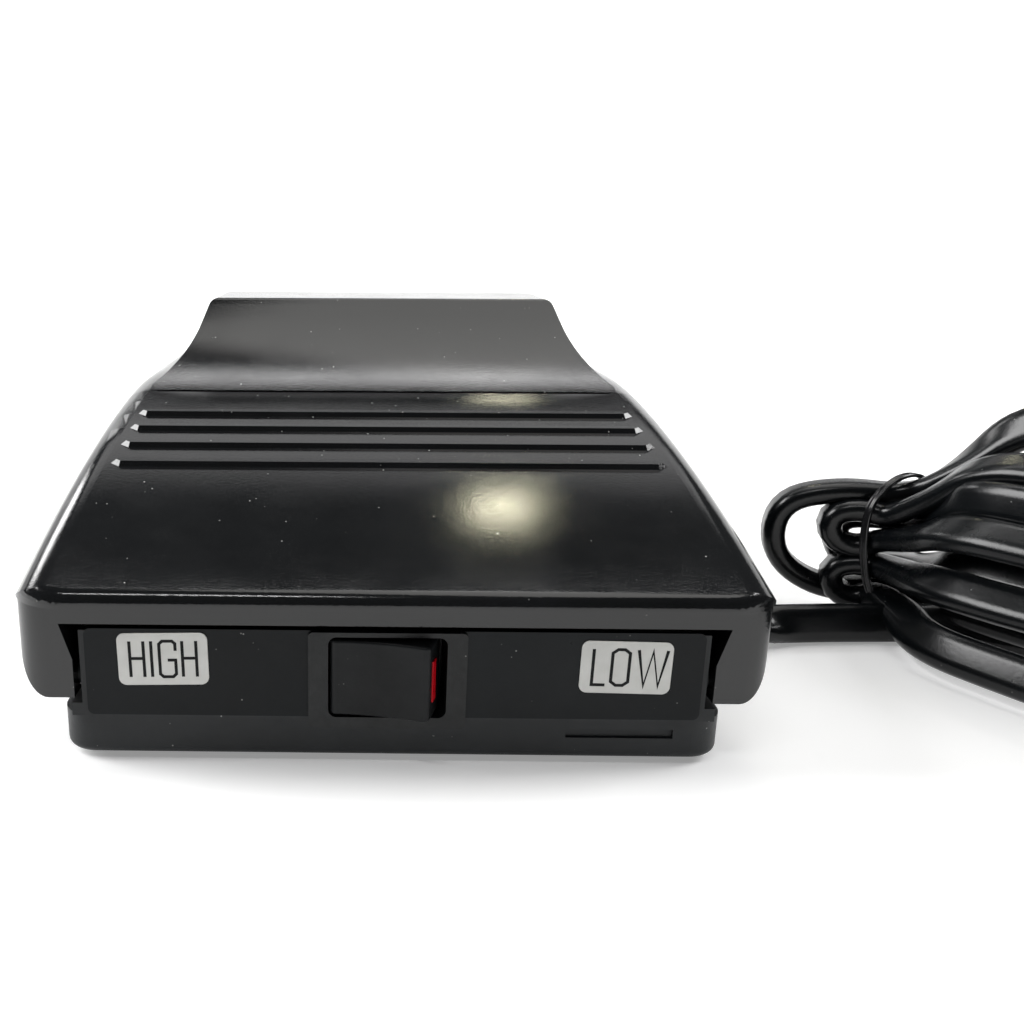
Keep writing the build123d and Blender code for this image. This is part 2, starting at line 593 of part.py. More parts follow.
def cord_tube(name, points):
    """Cord along a route of straight runs joined by tangent arcs."""
    radii = corner_radii(points)
    path = FilletPolyline(*points, radius=radii)
    tube = sweep(Plane(origin=path @ 0, z_dir=path % 0) * Circle(CORD_R), path=path)
    want = math.pi * CORD_R ** 2 * path.length
    print(name, "arc radii", [round(r, 1) for r in radii], "length", round(path.length, 1),
          "volume ratio", round(tube.volume / want, 4))
    return tube


def beside_hank(s, side, z):
    """Point at a distance s along the hank from its tie, and side to the right of its line."""
    p = Vector(*HANK_TIE, 0) + ACROSS * s + BESIDE * side
    return (p.X, p.Y, z)


def make_cord_lead():
    return cord_tube("cord_lead", [RELIEF_END, (75.0, -24.6, 3.8), (85.5, -21.3, 3.62)])


def make_cord_tail():
    return cord_tube("cord_tail", [beside_hank(5, 10.5, 3.8), beside_hank(6, 20, 3.8),
                                   beside_hank(11, 29.5, 4.6), beside_hank(21, 35.5, 6.6),
                                   beside_hank(PLUG_START, PLUG_SIDE, PLUG_Z)])


def make_hank():
    """Outer shape of the tied hank, narrow at the tie and spread at its ends."""
    rings = []
    for s, wide, high, shift in HANK_SECTIONS:
        centre = beside_hank(s, shift, high + 0.35)
        rings.append(Plane(origin=centre, x_dir=BESIDE, z_dir=ACROSS) * Ellipse(wide, high))
    return loft(rings, ruled=True)


def make_tie():
    """Twist tie round the hank's waist."""
    centre = beside_hank(0, 0, 13.75)
    plane = Plane(origin=centre, x_dir=BESIDE, z_dir=ACROSS)
    return extrude(plane * Ellipse(12.3, 13.4) - plane * Ellipse(11.0, 12.9), amount=1.6, both=True)


def plug_plane(s):
    return Plane(origin=beside_hank(s, PLUG_SIDE, PLUG_Z), x_dir=BESIDE, z_dir=ACROSS)


def make_plug_relief():
    cone = loft([plug_plane(PLUG_START) * Circle(4.2),
                 plug_plane(PLUG_START + PLUG_RELIEF_LEN) * Circle(5.6)])
    for k in range(3):
        s = PLUG_START + 3.0 + 3.6 * k
        cone -= extrude(plug_plane(s) * (Circle(9) - Circle(4.0 + 0.35 * k)), amount=1.3)
    return cone


def make_plug():
    s0 = PLUG_START + PLUG_RELIEF_LEN
    body = loft([plug_plane(s0) * RectangleRounded(13.0, 12.0, 4.0),
                 plug_plane(s0 + 9) * RectangleRounded(22.0, 15.0, 5.0),
                 plug_plane(s0 + PLUG_LEN) * RectangleRounded(24.0, 16.0, 5.5)], ruled=True)
    for side in (-1, 1):
        body -= (plug_plane(s0 + PLUG_LEN - PIN_SET_IN) * Pos(side * PIN_GAP / 2, 0, PIN_SET_IN / 2)
                 * Cylinder(PIN_NECK_R, PIN_SET_IN))
    return body


def make_plug_pins():
    s1 = PLUG_START + PLUG_RELIEF_LEN + PLUG_LEN
    pins = []
    for side in (-1, 1):
        place = Pos(side * PIN_GAP / 2, 0, (PIN_LEN - PIN_NECK) / 2)
        pin = plug_plane(s1 + PIN_NECK) * place * Cylinder(PIN_R, PIN_LEN - PIN_NECK)
        tip = pin.edges().filter_by(GeomType.CIRCLE).sort_by(lambda e: e.center().dot(ACROSS))[-1]
        neck_len = PIN_SET_IN + PIN_NECK
        neck = (plug_plane(s1 - PIN_SET_IN) * Pos(side * PIN_GAP / 2, 0, neck_len / 2)
                * Cylinder(PIN_NECK_R, neck_len))
        pins.append(chamfer(tip, 0.7) + neck)
    return Compound(pins)


def main():
    os.makedirs("parts", exist_ok=True)
    parts = {
        "pedal_cover": make_cover(),
        "base_housing": make_base_housing(),
        "bottom_tray": make_tray(),
        "front_panel": make_panel(),
        "high_label": make_label(-33.0, 16.55, 1.0),
        "low_label": make_label(33.2, 15.9, -1.0),
        "switch_housing": make_switch_housing(),
        "rocker": make_rocker(),
        "rocker_red_mark": red_mark_block(),
        "switch_terminals": make_switch_terminals(),
        "return_spring_left": coil(*SPRINGS[0], SPRING_LOW_Z, SPRING_TOP_Z, SPRING_R, SPRING_WIRE_R, 7),
        "return_spring_right": coil(*SPRINGS[1], SPRING_LOW_Z, SPRING_TOP_Z, SPRING_R, SPRING_WIRE_R, 7),
        "speed_slider": make_slider(),
        "slider_spring": coil(0, SLIDER_Y, POT_TOP_Z, SLIDER_TOP_Z - 2.0, 3.4, 0.25, 4),
        "speed_potentiometer": make_pot(),
        "circuit_board": make_pcb(),
        "circuit_board_screws": Compound([pan_screw(x, y, 3.4, PCB_TOP, 1.1, 2.2, 1.4)
                                          for x, y in PCB_SCREWS]),
        "heat_sink": make_heat_sink(),
        "triac": make_triac(),
        "choke_coil": make_choke(),
        "capacitors": make_capacitors(),
        "resistors": make_resistors(),
        "terminal_block": make_terminal_block(),
        "terminal_screws": make_terminal_screws(),
        "inner_wires": make_wires(),
        "cord_clamp": make_clamp(),
        "cord_clamp_screws": Compound([pan_screw(37.0, EXIT[1] + d, 3.4, 8.0, 1.1, 2.2, 1.4)
                                       for d in (-6.5, 6.5)]),
        "cord_inner_end": make_inner_cord(),
        "strain_relief": make_relief(),
        "case_screws": make_case_screws(),
        "rubber_feet": make_feet(),
        "cord_lead": make_cord_lead(),
        "cord_hank": make_hank(),
        "hank_tie": make_tie(),
        "cord_tail": make_cord_tail(),
        "plug_relief": make_plug_relief(),
        "plug_body": make_plug(),
        "plug_pins": make_plug_pins(),
    }
    for name, shape in parts.items():
        export_step(shape, f"parts/{name}.step")


main()
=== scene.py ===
"""Looks, cord and stage for the sewing machine pedal. Metres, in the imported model's frame."""
import json
import math

import bmesh
import bpy
from mathutils import Matrix, Vector


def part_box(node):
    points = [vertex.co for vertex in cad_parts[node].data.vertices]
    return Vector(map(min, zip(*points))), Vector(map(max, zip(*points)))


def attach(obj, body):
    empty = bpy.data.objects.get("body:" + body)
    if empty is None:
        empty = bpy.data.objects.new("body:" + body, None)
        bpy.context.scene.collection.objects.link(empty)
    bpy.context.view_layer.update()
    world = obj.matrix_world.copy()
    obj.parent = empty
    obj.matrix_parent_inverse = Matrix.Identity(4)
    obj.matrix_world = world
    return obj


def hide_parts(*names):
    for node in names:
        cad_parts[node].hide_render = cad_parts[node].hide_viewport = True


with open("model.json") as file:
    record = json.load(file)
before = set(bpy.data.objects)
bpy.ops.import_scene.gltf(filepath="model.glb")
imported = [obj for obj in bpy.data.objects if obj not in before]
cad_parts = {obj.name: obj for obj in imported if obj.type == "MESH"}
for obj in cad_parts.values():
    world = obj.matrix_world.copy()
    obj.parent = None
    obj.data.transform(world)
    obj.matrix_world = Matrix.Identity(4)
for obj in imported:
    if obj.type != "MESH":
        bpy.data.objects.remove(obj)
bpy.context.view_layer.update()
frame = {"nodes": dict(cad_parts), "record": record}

MM = 0.001
NODES = frame["nodes"]


# ---------------------------------------------------------------- camera
def set_camera():
    yaw, pitch, roll = math.radians(-0.864), math.radians(15.466), math.radians(0.202)
    fwd = Vector((math.sin(yaw) * math.cos(pitch), math.cos(yaw) * math.cos(pitch), -math.sin(pitch)))
    right = Vector((math.cos(yaw), -math.sin(yaw), 0))
    up = right.cross(fwd)
    r2 = right * math.cos(roll) + up * math.sin(roll)
    u2 = -right * math.sin(roll) + up * math.cos(roll)
    cam = bpy.data.cameras.new("camera")
    cam.sensor_width = 36.0
    cam.lens = 1021.88 / 1024 * 36.0
    cam.shift_x = (512 - 338.76) / 1024
    cam.clip_start = 0.01
    cam.clip_end = 20
    cam.dof.use_dof = False
    ob = bpy.data.objects.new("camera", cam)
    ob.matrix_world = Matrix((
        (r2.x, u2.x, -fwd.x, -5.815 * MM),
        (r2.y, u2.y, -fwd.y, -207.873 * MM),
        (r2.z, u2.z, -fwd.z, 75.995 * MM),
        (0, 0, 0, 1)))
    bpy.context.collection.objects.link(ob)
    bpy.context.scene.camera = ob


set_camera()

# ---------------------------------------------------------------- cord
CORD_WIDE = 7.4          # flat two-core flex, mm
CORD_THIN = 4.6
TIE = Vector((96.0, -14.0))
ANGLE = math.radians(-58)
ACROSS = Vector((math.cos(ANGLE), math.sin(ANGLE)))
BESIDE = Vector((-math.sin(ANGLE), math.cos(ANGLE)))


def beside_hank(s, side, z):
    """A point s mm along the hank from its tie, side mm to its right, z mm up."""
    p = TIE + ACROSS * s + BESIDE * side
    return (p.x, p.y, z)


FAR_WAY = Vector((-0.97, 0.24))      # the loops past the tie lean this way
FAR_SIDE = Vector((0.24, 0.97))


def past_tie(d, side, z):
    """A point d mm past the tie at the hank's far end."""
    p = TIE + FAR_WAY * d + FAR_SIDE * side
    return (p.x, p.y, z)


# The hank's turns: the near end (s, side, low z, high z), the top strand's place in the bulge and at the tie
# (side, z), the far end (d, side, low z, high z), and the low strand's place at the tie and in the bulge.
TURNS = [
    ((94, 6, 5, 42), (11.0, 44.5), (8.6, 25.6), (16.0, 4.0, 5.2, 26.6), (9.4, 6.6), (4.0, 8.0)),
    ((90, 1, 8, 41), (-1.0, 37.2), (2.4, 22.4), (6.2, 1.6, 15.0, 23.6), (2.0, 17.6), (-9.5, 26.2)),
    ((100, -8, 9, 34), (-8.5, 15.0), (2.0, 12.2), (4.8, 1.2, 4.9, 12.6), (2.0, 6.6), (-13.0, 5.2)),
    ((97, -10, 8, 36), (-5.5, 31.7), (9.2, 20.8), (3.6, 8.0, 10.4, 20.6), (9.4, 11.4), (-4.0, 18.5)),
]
SPREAD_S = (10, 19, 34)      # where the strands fan out past the tie, and how far they have gone
SPREAD = (0.36, 0.94, 1.0)


def fan(slot, place):
    """Points of a strand between its slot in the tie and its place in the bulge."""
    return [beside_hank(s, slot[0] + (place[0] - slot[0]) * k, slot[1] + (place[1] - slot[1]) * k)
            for s, k in zip(SPREAD_S, SPREAD)]


def cord_route():
    """Control points of the cord's centreline, mm."""
    pts = [(67.4, -26.6, 4.3), (75.0, -24.8, 3.95), (86.0, -23.6, 3.8), (98.0, -23.2, 3.75), (108.5, -22.5, 3.75),
           beside_hank(30, 11.0, 3.4), beside_hank(62, 8.0, 2.8)]
    for near, top, out, far, back, low in TURNS:
        rise, fall = near[3] - near[2], far[3] - far[2]
        pts += [beside_hank(near[0] - 6, near[1], near[2]),
                beside_hank(near[0] + 5, near[1], near[2] + 0.25 * rise),
                beside_hank(near[0] + 5, near[1], near[3] - 0.25 * rise),
                beside_hank(near[0] - 8, near[1], near[3]), beside_hank(60, top[0], top[1] + 1.5)]
        pts += fan(out, top)[::-1]
        pts += [beside_hank(2, *out), past_tie(0.42 * far[0], far[1], far[3]),
                past_tie(far[0] + 1.5, far[1], far[3] - 0.16 * fall),
                past_tie(far[0] + 1.5, far[1], far[2] + 0.3 * fall),
                past_tie(0.42 * far[0], far[1], far[2]), beside_hank(1, *back)]
        pts += fan(back, low)
        pts += [beside_hank(62, low[0], low[1])]
    pts += [beside_hank(86, 9, 12.0), beside_hank(95, 14, 11.0), beside_hank(94, 17.5, 4.0),
            beside_hank(78, 17.0, 2.8), beside_hank(50, 16.5, 2.8), beside_hank(30, 15.5, 2.8),
            beside_hank(14, 16.5, 2.8), beside_hank(6.5, 22.0, 3.0), beside_hank(9.5, 30.0, 4.4),
            beside_hank(21, 35.5, 6.6), beside_hank(36, 37, 8.6)]
    return pts


def nurbs(name, pts, closed=False):
    cu = bpy.data.curves.new(name, "CURVE")
    cu.dimensions = "3D"
    cu.resolution_u = 16
    sp = cu.splines.new("NURBS")
    sp.points.add(len(pts) - 1)
    for p, co in zip(sp.points, pts):
        p.co = (co[0] * MM, co[1] * MM, co[2] * MM, 1)
    sp.order_u = 3
    if closed:
        sp.use_cyclic_u = True
    else:
        sp.use_endpoint_u = True
    ob = bpy.data.objects.new(name, cu)
    bpy.context.collection.objects.link(ob)
    return ob


def spline_line(name, pts, closed=False):
    """Points that Blender reads from the NURBS spline through the control points."""
    ob = nurbs(name, pts, closed)
    bpy.context.view_layer.update()
    me = bpy.data.meshes.new_from_object(ob)
    line = [v.co.copy() for v in me.vertices]
    bpy.data.objects.remove(ob)
    bpy.data.meshes.remove(me)
    return line


def make_mesh(name, verts, faces, smooth=True):
    me = bpy.data.meshes.new(name)
    me.from_pydata(verts, [], faces)
    me.update()
    bm = bmesh.new()
    bm.from_mesh(me)
    bmesh.ops.recalc_face_normals(bm, faces=bm.faces)
    bm.to_mesh(me)
    bm.free()
    for f in me.polygons:
        f.use_smooth = smooth
    ob = bpy.data.objects.new(name, me)
    bpy.context.collection.objects.link(ob)
    return ob


def resample(line, step):
    """The same line with points an even distance apart."""
    out, left = [line[0].copy()], step
    for a, b in zip(line, line[1:]):
        seg = (b - a).length
        while seg > 0 and left <= seg:
            a = a + (b - a) * (left / seg)
            seg -= left
            out.append(a.copy())
            left = step
        left -= seg
    if (line[-1] - out[-1]).length > 0.4 * step:
        out.append(line[-1].copy())
    else:
        out[-1] = line[-1].copy()
    return out


def smoothed(vectors, passes):
    for _ in range(passes):
        vectors = [vectors[0]] + [(a + 2 * b + c).normalized() for a, b, c in
                                  zip(vectors, vectors[1:], vectors[2:])] + [vectors[-1]]
    return vectors


def tube_frames(line, wide_hint):
    """Unit tangents and wide axes along a line; the wide axis stays near the hint at each point."""
    tan = [(line[min(i + 1, len(line) - 1)] - line[max(i - 1, 0)]).normalized() for i in range(len(line))]
    wide, last = [], wide_hint(0)
    for i, t in enumerate(tan):
        h = wide_hint(i)
        w = h - t * h.dot(t)
        if w.length < 0.35:
            w = w + (last - t * last.dot(t)) * 0.6
        if w.dot(last) < 0:
            w = -w
        last = w.normalized()
        wide.append(last)
    wide = smoothed(wide, 6)
    return tan, [(w - t * w.dot(t)).normalized() for w, t in zip(wide, tan)]


def tube(name, line, section, wide_hint, twist):
    """Closed tube of the given section (pairs wide, thin in metres) along a line, turned by twist."""
    tan, wide = tube_frames(line, wide_hint)
    n, verts, faces = len(section), [], []
    for i, p in enumerate(line):
        w, t = wide[i], tan[i]
        h = t.cross(w)
        a = twist[i]
        w, h = w * math.cos(a) + h * math.sin(a), h * math.cos(a) - w * math.sin(a)
        verts += [p + w * x + h * y for x, y in section]
    for i in range(len(line) - 1):
        for j in range(n):
            k = (j + 1) % n
            faces.append((i * n + j, i * n + k, (i + 1) * n + k, (i + 1) * n + j))
    faces += [tuple(range(n - 1, -1, -1)), tuple(range((len(line) - 1) * n, len(line) * n))]
    return make_mesh(name, verts, faces)


def flat_section(wide, thin, waist=0.0, n=24):
    """Rounded flat section, with a shallow groove along the middle of its flat sides."""
    out = []
    for j in range(n):
        a = 2 * math.pi * j / n
        x = wide / 2 * math.copysign(abs(math.cos(a)) ** 0.78, math.cos(a))
        y = thin / 2 * math.copysign(abs(math.sin(a)) ** 0.72, math.sin(a))
        y *= 1 - waist * math.exp(-(x / (0.16 * wide)) ** 2)
        out.append((x * MM, y * MM))
    return out


def ramp(x, lo, hi):
    k = max(0.0, min(1.0, (x - lo) / (hi - lo)))
    return k * k * (3 - 2 * k)


def cord_hint(line, along):
    """The flat cord's wide axis: across the hank, and across the loops where they lean past the tie."""
    side, far_side = (Vector((v.x, v.y, 0)) for v in (BESIDE, FAR_SIDE))
    n = len(line)

    def hint(i):
        t = (line[min(i + 1, n - 1)] - line[max(i - 1, 0)]).normalized()
        flat = Vector((0, 0, 1)).cross(t)
        if flat.length > 0.3 and line[i].z < 0.0042:
            flat.normalize()
            return flat if flat.dot(side) > 0 else -flat
        k = ramp(-along[i], -2.0, 7.0)
        return (side * (1 - k) + far_side * k).normalized()
    return hint


def make_cord():
    line = resample(spline_line("cord_route", cord_route()), 0.0016)
    tie = Vector((TIE.x, TIE.y, 0)) * MM
    across = Vector((ACROSS.x, ACROSS.y, 0))
    n = len(line)
    along = [(p - tie).dot(across) / MM for p in line]
    lead = next(i for i in range(n) if along[i] > 16 and line[i].x > 0.1)
    turn = []
    for i, p in enumerate(line):
        if i < lead + 14:        # the lead stands on its edge as far as the hank
            turn.append(1.35 * ramp(i, 0, 7) * (1 - ramp(i, lead - 4, lead + 14)))
            continue
        going = 1 if line[min(i + 1, n - 1)].y < line[max(i - 1, 0)].y else -1
        phase = math.sin(i * 0.0125 + 0.4) + 0.4 * math.sin(i * 0.031 + 2.0)
        open_part = ramp(along[i], 3, 22) * (1 - ramp(along[i], 52, 76)) * ramp(p.z / MM, 3.4, 5.2)
        turn.append(going * open_part * (0.95 + 0.4 * phase))
    ob = tube("cord", line, flat_section(CORD_WIDE, CORD_THIN, 0.10), cord_hint(line, along), turn)
    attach(ob, "base")
    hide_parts("cord_lead", "cord_hank", "cord_tail")
    return ob


# the tie's loop round the strands: (s, side, z)
TIE_LOOP = [(0.8, -3.0, 14), (0.2, -3.2, 19.5), (0.4, -3.0, 25.2), (1.4, 1.2, 29.4), (2.0, 6.5, 30.6), (2.0, 12.5, 28.8),
            (1.5, 14.8, 22), (1.0, 14.8, 11), (2.0, 12.0, 4.2), (3.5, 6.0, 3.2), (4.6, 0.0, 3.6),
            (2.6, -3.0, 8)]


def make_tie():
    """Twist tie: two thin wires in one shiny strip, round the middle of the hank."""
    line = spline_line("tie_route", [beside_hank(*p) for p in TIE_LOOP], closed=True)
    n = len(line)
    wide = Vector((ACROSS.x, ACROSS.y, 0))
    section = []
    for j in range(20):
        a = 2 * math.pi * j / 20
        x = 0.8 * math.cos(a)
        section.append((x * MM, math.sin(a) * (0.16 + 0.42 * (abs(x) / 0.8)) * MM * 1.2))
    verts, faces = [], []
    for i, p in enumerate(line):
        t = (line[(i + 1) % n] - line[i - 1]).normalized()
        w = (wide - t * wide.dot(t)).normalized()
        h = t.cross(w)
        verts += [p + w * x + h * y for x, y in section]
    m = len(section)
    for i in range(n):
        for j in range(m):
            k, i2 = (j + 1) % m, (i + 1) % n
            faces.append((i * m + j, i * m + k, i2 * m + k, i2 * m + j))
    ob = make_mesh("hank_twist_tie", verts, faces)
    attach(ob, "base")
    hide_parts("hank_tie")
    return ob


twist_tie = make_tie()
cord = make_cord()


# ---------------------------------------------------------------- label lettering
LETTER_H = 5.5
STROKE = 0.45
LETTERS = {  # strokes as (x, y) in letter widths and heights; a closed stroke ends where it starts
    "H": [[(0, 0), (0, 1)], [(1, 0), (1, 1)], [(0.1, 0.52), (0.9, 0.52)]],
    "I": [[(0.5, 0), (0.5, 1)]],
    "G": [[(1, 0.73), (1, 0.93), (0.82, 1), (0.2, 1), (0, 0.92), (0, 0.08), (0.2, 0), (0.8, 0), (1, 0.08),
           (1, 0.47), (0.5, 0.47)]],
    "L": [[(0, 1), (0, 0), (1, 0)]],
    "O": [[(0.3, 1), (0.7, 1), (1, 0.9), (1, 0.1), (0.7, 0), (0.3, 0), (0, 0.1), (0, 0.9), (0.3, 1)]],
    "W": [[(0, 1), (0.25, 0), (0.5, 0.97), (0.75, 0), (1, 1)]],
}
# letter, left edge and width in mm from the label's left edge
WORDS = {"word_high": ("high_label", 1.0, [("H", 1.78, 2.0), ("I", 4.8, 0.2), ("G", 6.05, 2.3), ("H", 9.35, 2.0)]),
         "word_low": ("low_label", -1.0, [("L", 1.75, 1.9), ("O", 4.45, 2.45), ("W", 8.1, 4.15)])}


def mitred(points, width):
    """Left and right edges of a stroke along points, with mitred corners."""
    closed = points[0] == points[-1]
    pts = points[:-1] if closed else points
    n, left, right = len(pts), [], []
    for i, p in enumerate(pts):
        before = pts[i - 1] if closed or i > 0 else None
        after = pts[(i + 1) % n] if closed or i < n - 1 else None
        dirs = [(Vector(b) - Vector(a)).normalized() for a, b in ((before, p), (p, after)) if a and b]
        d = sum(dirs, Vector((0, 0))).normalized()
        side = Vector((-d.y, d.x))
        k = width / 2 / max(0.42, side.dot(Vector((-dirs[0].y, dirs[0].x))))
        left.append(Vector(p) + side * k)
        right.append(Vector(p) - side * k)
    return left, right, closed


def make_words():
    """Printed letters as thin raised ink on the labels."""
    made = []
    for name, (node, turn, letters) in WORDS.items():
        lo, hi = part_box(node)
        mid, face = (Vector(lo) + Vector(hi)) / 2, lo[1]
        a = math.radians(turn)
        verts, faces = [], []
        for letter, x0, width in letters:
            for stroke in LETTERS[letter]:
                pts = [(x0 - 6.5 + x * width, (y - 0.5) * LETTER_H) for x, y in stroke]
                left, right, closed = mitred(pts, STROKE)
                base, m = len(verts), len(left)
                for depth in (-0.025, 0.01):
                    for q in left + right:
                        x, z = q.x * math.cos(a) - q.y * math.sin(a), q.x * math.sin(a) + q.y * math.cos(a)
                        verts.append((mid.x + x * MM, face + depth * MM, mid.z + z * MM))
                for i in range(m if closed else m - 1):
                    j = (i + 1) % m
                    f, b = base, base + 2 * m
                    faces += [(f + i, f + j, f + m + j, f + m + i), (b + i, b + m + i, b + m + j, b + j),
                              (f + i, b + i, b + j, f + j), (f + m + i, f + m + j, b + m + j, b + m + i)]
                if not closed:
                    for i in (0, m - 1):
                        f, b = base + i, base + 2 * m + i
                        faces.append((f, f + m, b + m, b))
        ob = make_mesh(name, verts, faces, smooth=False)
        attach(ob, "base")
        made.append(ob)
    return made


# ---------------------------------------------------------------- materials
def node_tree(name):
    mat = bpy.data.materials.new(name)
    mat.use_nodes = True
    nt = mat.node_tree
    nt.nodes.clear()
    out = nt.nodes.new("ShaderNodeOutputMaterial")
    bsdf = nt.nodes.new("ShaderNodeBsdfPrincipled")
    nt.links.new(bsdf.outputs["BSDF"], out.inputs["Surface"])
    return mat, nt, bsdf


def noise(nt, co, scale, detail=4.0, rough=0.55):
    n = nt.nodes.new("ShaderNodeTexNoise")
    n.inputs["Scale"].default_value = scale
    n.inputs["Detail"].default_value = detail
    n.inputs["Roughness"].default_value = rough
    nt.links.new(co, n.inputs["Vector"])
    return n.outputs["Fac"]


def remap(nt, fac, lo, hi, a, b):
    r = nt.nodes.new("ShaderNodeMapRange")
    for k, v in zip(("From Min", "From Max", "To Min", "To Max"), (lo, hi, a, b)):
        r.inputs[k].default_value = v
    nt.links.new(fac, r.inputs["Value"])
    return r.outputs["Result"]


def mix(nt, fac, a, b):
    m = nt.nodes.new("ShaderNodeMix")
    m.data_type = "RGBA"
    nt.links.new(fac, m.inputs["Factor"])
    for sock, v in ((m.inputs["A"], a), (m.inputs["B"], b)):
        if isinstance(v, tuple):
            sock.default_value = (*v, 1)
        else:
            nt.links.new(v, sock)
    return m.outputs["Result"]


def maths(nt, op, a, b=None):
    m = nt.nodes.new("ShaderNodeMath")
    m.operation = op
    for sock, v in zip(m.inputs, (a, b)):
        if v is None:
            continue
        if isinstance(v, (int, float)):
            sock.default_value = v
        else:
            nt.links.new(v, sock)
    return m.outputs[0]


def finish_surface(name, base, dark=0.75, light=1.3, rough=(0.35, 0.5), grain=(1800, 0.15, 0.00004),
                   broad=90, dust=0.0, wear=0.0, metal=0.0, coat=0.0, coat_rough=0.1, sheen=0.0, spec=0.5,
                   stretch=(1, 1, 1), dust_colour=(0.5, 0.5, 0.48)):
    """Moulded or rolled surface: colour variation, uneven roughness, fine grain, dust specks and edge wear."""
    mat, nt, bsdf = node_tree(name)
    tc = nt.nodes.new("ShaderNodeTexCoord")
    mp = nt.nodes.new("ShaderNodeMapping")
    mp.inputs["Scale"].default_value = stretch
    nt.links.new(tc.outputs["Object"], mp.inputs["Vector"])
    co = mp.outputs["Vector"]
    broad_fac = noise(nt, co, broad, 5)
    fine = noise(nt, co, grain[0], 3, 0.6)
    colour = mix(nt, remap(nt, broad_fac, 0.3, 0.7, 0, 1), tuple(c * dark for c in base),
                 tuple(min(1, c * light) for c in base))
    rough_fac = remap(nt, noise(nt, co, broad * 2.3, 6, 0.65), 0.3, 0.72, rough[0], rough[1])
    if wear > 0:
        geo = nt.nodes.new("ShaderNodeNewGeometry")
        edge = remap(nt, geo.outputs["Pointiness"], 0.52, 0.6, 0, wear)
        edge = maths(nt, "MULTIPLY", edge, remap(nt, noise(nt, co, broad * 4, 5, 0.7), 0.4, 0.65, 0.15, 1))
        colour = mix(nt, edge, colour, tuple(min(1, c * 2.2 + 0.03) for c in base))
    if dust > 0:
        vor = nt.nodes.new("ShaderNodeTexVoronoi")
        vor.inputs["Scale"].default_value = 650
        nt.links.new(co, vor.inputs["Vector"])
        speck = remap(nt, vor.outputs["Distance"], 0.05, 0.10, 1, 0)
        speck = maths(nt, "MULTIPLY", speck, remap(nt, noise(nt, co, 240, 2), 0.58, 0.64, 0, dust))
        colour = mix(nt, speck, colour, dust_colour)
        rough_fac = maths(nt, "ADD", rough_fac, maths(nt, "MULTIPLY", speck, 0.4))
    bump = nt.nodes.new("ShaderNodeBump")
    bump.inputs["Strength"].default_value = grain[1]
    bump.inputs["Distance"].default_value = grain[2]
    nt.links.new(fine, bump.inputs["Height"])
    nt.links.new(colour, bsdf.inputs["Base Color"])
    nt.links.new(rough_fac, bsdf.inputs["Roughness"])
    nt.links.new(bump.outputs["Normal"], bsdf.inputs["Normal"])
    bsdf.inputs["Metallic"].default_value = metal
    bsdf.inputs["Specular IOR Level"].default_value = spec
    bsdf.inputs["Coat Weight"].default_value = coat
    bsdf.inputs["Coat Roughness"].default_value = coat_rough
    bsdf.inputs["Sheen Weight"].default_value = sheen
    return mat


COVER_MAT = finish_surface("cover_gloss", (0.006, 0.0065, 0.007), rough=(0.07, 0.15), grain=(2300, 0.6, 0.00003),
                           broad=40, dust=1.0)
CASE_MAT = finish_surface("case_satin", (0.0085, 0.0102, 0.0115), rough=(0.36, 0.5), grain=(2200, 0.4, 0.00005),
                          broad=60, dust=0.5, wear=0.15, spec=0.3)
PANEL_MAT = finish_surface("panel_satin", (0.0055, 0.0068, 0.0078), rough=(0.26, 0.4),
                           grain=(2400, 0.35, 0.00004), broad=50, dust=0.4, spec=0.14)
LABEL_MAT = finish_surface("label_grey", (0.60, 0.60, 0.575), dark=0.93, light=1.05, rough=(0.4, 0.5),
                           grain=(3000, 0.15, 0.00002), broad=300, dust=0.35, dust_colour=(0.25, 0.24, 0.22))
INK_MAT = finish_surface("label_ink", (0.006, 0.006, 0.0065), rough=(0.4, 0.5), grain=(3000, 0.2, 0.00002),
                         broad=300, spec=0.15)
SWITCH_MAT = finish_surface("switch_black", (0.006, 0.0068, 0.0072), rough=(0.36, 0.5),
                            grain=(3500, 0.5, 0.00004), broad=120, dust=0.4, wear=0.15, spec=0.28)
ROCKER_MAT = finish_surface("rocker_black", (0.007, 0.0078, 0.0085), rough=(0.36, 0.5),
                            grain=(3500, 0.5, 0.00004), broad=120, dust=0.3, wear=0.25, spec=0.17)
RED_MAT = finish_surface("red_inlay", (0.5, 0.001, 0.008), spec=0.25, rough=(0.25, 0.4), grain=(2500, 0.2, 0.00003),
                         broad=200, dust=0.2)
CORD_MAT = finish_surface("cord_vinyl", (0.002, 0.0027, 0.0033), rough=(0.22, 0.29), grain=(1600, 0.5, 0.00004),
                          broad=30, dust=0.25, dark=0.9, light=1.1, spec=0.36)
TIE_MAT = finish_surface("tie_vinyl", (0.010, 0.010, 0.011), rough=(0.14, 0.24), grain=(1500, 0.3, 0.00005),
                         broad=150, dust=0.3)
RUBBER_MAT = finish_surface("rubber_black", (0.02, 0.02, 0.021), rough=(0.55, 0.75), grain=(2000, 0.6, 0.00008),
                            broad=120, dust=0.5)
PLUG_MAT = finish_surface("plug_black", (0.017, 0.018, 0.019), rough=(0.36, 0.5), grain=(1800, 0.4, 0.00005),
                          broad=80, dust=0.4, wear=0.3)
STEEL_MAT = finish_surface("steel_wire", (0.58, 0.58, 0.57), rough=(0.18, 0.35), grain=(4000, 0.3, 0.00002),
                           broad=400, metal=1.0, stretch=(1, 1, 0.1))
SCREW_MAT = finish_surface("zinc_steel", (0.6, 0.6, 0.57), rough=(0.25, 0.42), grain=(3000, 0.3, 0.00003),
                           broad=500, metal=1.0)
